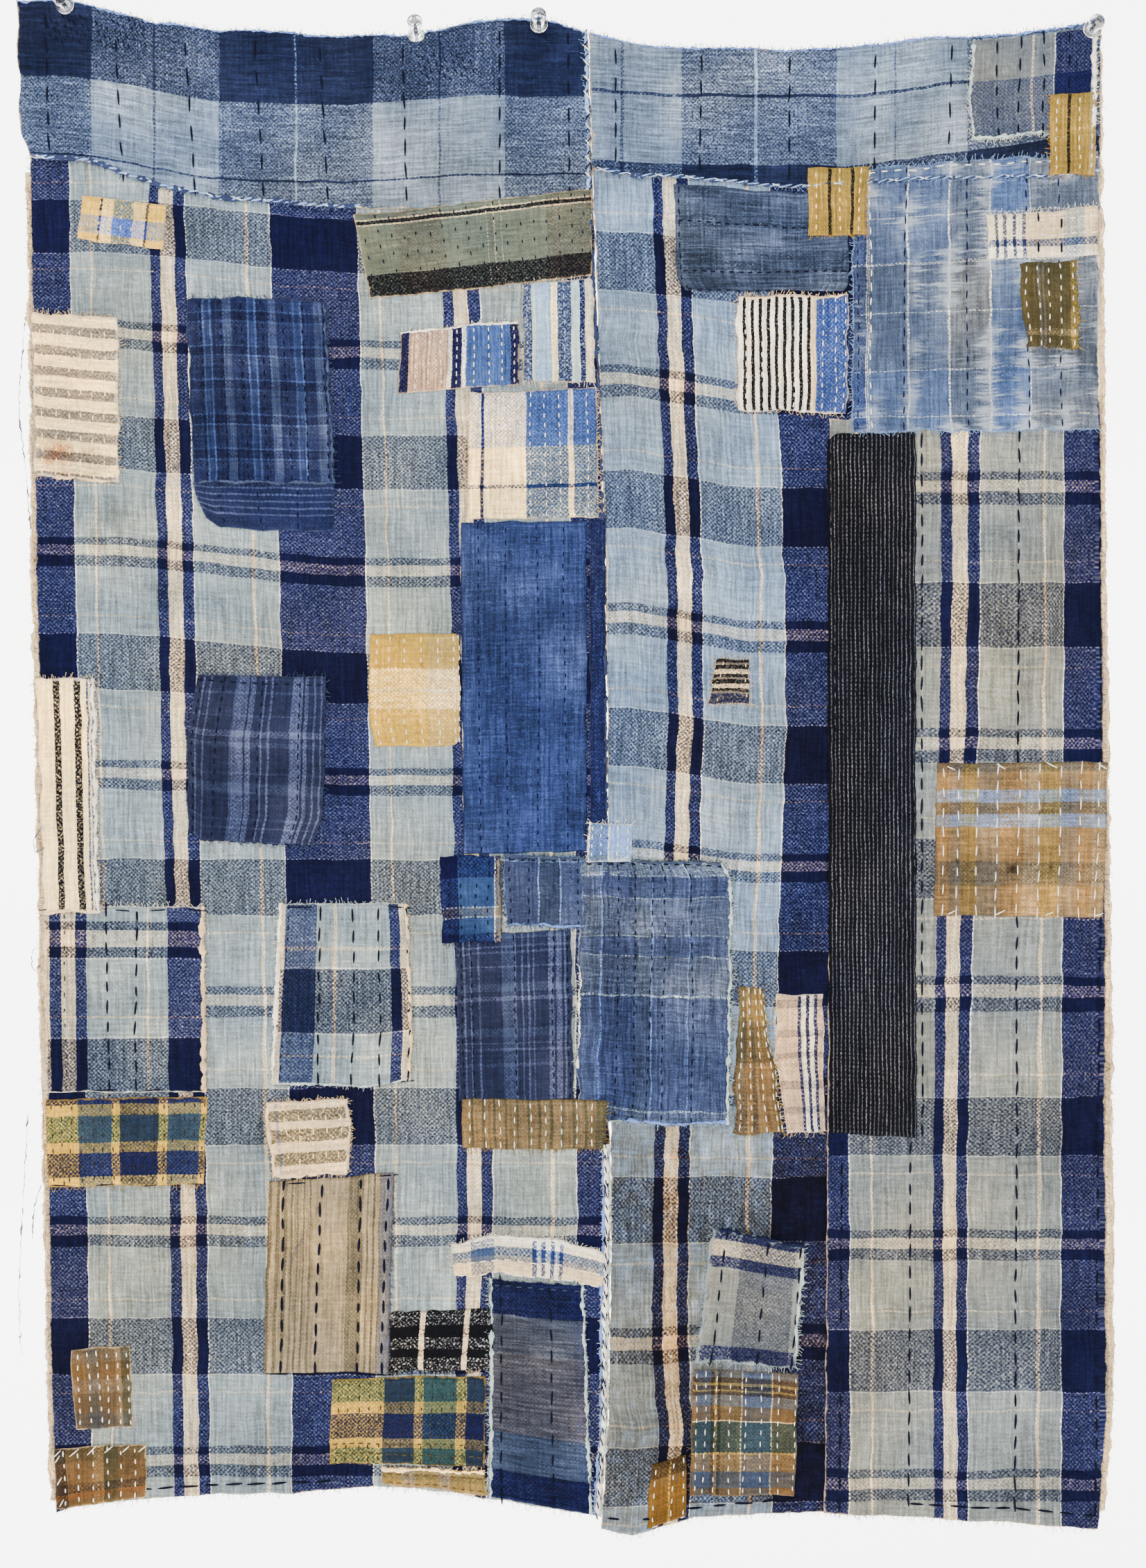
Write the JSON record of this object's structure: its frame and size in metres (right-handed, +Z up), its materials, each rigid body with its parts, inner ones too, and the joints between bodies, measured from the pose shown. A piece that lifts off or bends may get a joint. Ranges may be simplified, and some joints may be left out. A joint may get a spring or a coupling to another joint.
{
  "type": "boro patched cloth with push pins",
  "caption": "Hanging boro cloth of sewn indigo panels covered with many small patches, held along its top edge by clear push pins.",
  "frame": {"origin": "middle of the top edge, in the plane that the cloth hangs against", "axes": "+X to the right seen from the front, +Y back into the wall, +Z up"},
  "size_m": [0.643, 0.0476, 0.8952],
  "materials": {
    "band_indigo": "worn plain-woven cotton",
    "panel_plaid": "worn plain-woven cotton",
    "backing_cream": "worn plain-woven cotton",
    "cream_cotton": "worn plain-woven cotton",
    "dark_indigo": "worn plain-woven cotton",
    "mid_indigo": "worn plain-woven cotton",
    "blue_stripes": "worn plain-woven cotton",
    "ochre_cotton": "worn plain-woven cotton",
    "gold_green_check": "worn plain-woven cotton",
    "olive_cotton": "worn plain-woven cotton",
    "brown_cotton": "worn plain-woven cotton",
    "near_black": "worn plain-woven cotton",
    "grey_cotton": "worn plain-woven cotton",
    "clear_pin": "clear moulded plastic"
  },
  "bodies": {
    "root": {"band_left": "band_indigo", "band_right": "band_indigo", "left_panel": "panel_plaid", "middle_panel": "panel_plaid", "right_panel": "panel_plaid", "plaid_left": "panel_plaid", "plaid_centre": "panel_plaid", "backing_left": "backing_cream", "backing_right": "backing_cream", "cream_check": "cream_cotton", "cream_bands_high": "cream_cotton", "cream_bands_low": "cream_cotton", "cream_stripes": "cream_cotton", "cream_navy_lines": "cream_cotton", "white_strip": "cream_cotton", "indigo_check": "dark_indigo", "indigo_plaid": "dark_indigo", "indigo_lines": "dark_indigo", "indigo_under": "dark_indigo", "navy_edge": "dark_indigo", "blue_solid": "mid_indigo", "denim_square": "mid_indigo", "blue_plaid_large": "mid_indigo", "ikat_blue": "mid_indigo", "blue_brown_line": "mid_indigo", "pale_tag": "mid_indigo", "taupe_blue_strip": "blue_stripes", "white_blue_bars": "blue_stripes", "stripe_seam": "blue_stripes", "cream_blue_block": "blue_stripes", "taupe_lines": "blue_stripes", "ochre_left": "ochre_cotton", "ochre_right": "ochre_cotton", "gold_block": "ochre_cotton", "yellow_low": "ochre_cotton", "gold_check_left": "gold_green_check", "gold_check_low": "gold_green_check", "gold_strip": "gold_green_check", "olive_wide": "olive_cotton", "olive_small": "olive_cotton", "khaki_tall": "olive_cotton", "khaki_strip": "olive_cotton", "khaki_wedge": "olive_cotton", "brown_small": "brown_cotton", "brown_corner": "brown_cotton", "brown_bands": "brown_cotton", "brown_blue_check": "brown_cotton", "black_fleck": "near_black", "pinstripe": "near_black", "slate": "near_black", "fleck_tag": "near_black", "grey_frayed": "grey_cotton", "dusk_bands": "grey_cotton", "plaid_corner": "grey_cotton", "pin_left": "clear_pin", "pin_middle_left": "clear_pin", "pin_middle": "clear_pin", "pin_right": "clear_pin"}
  },
  "joints": []
}
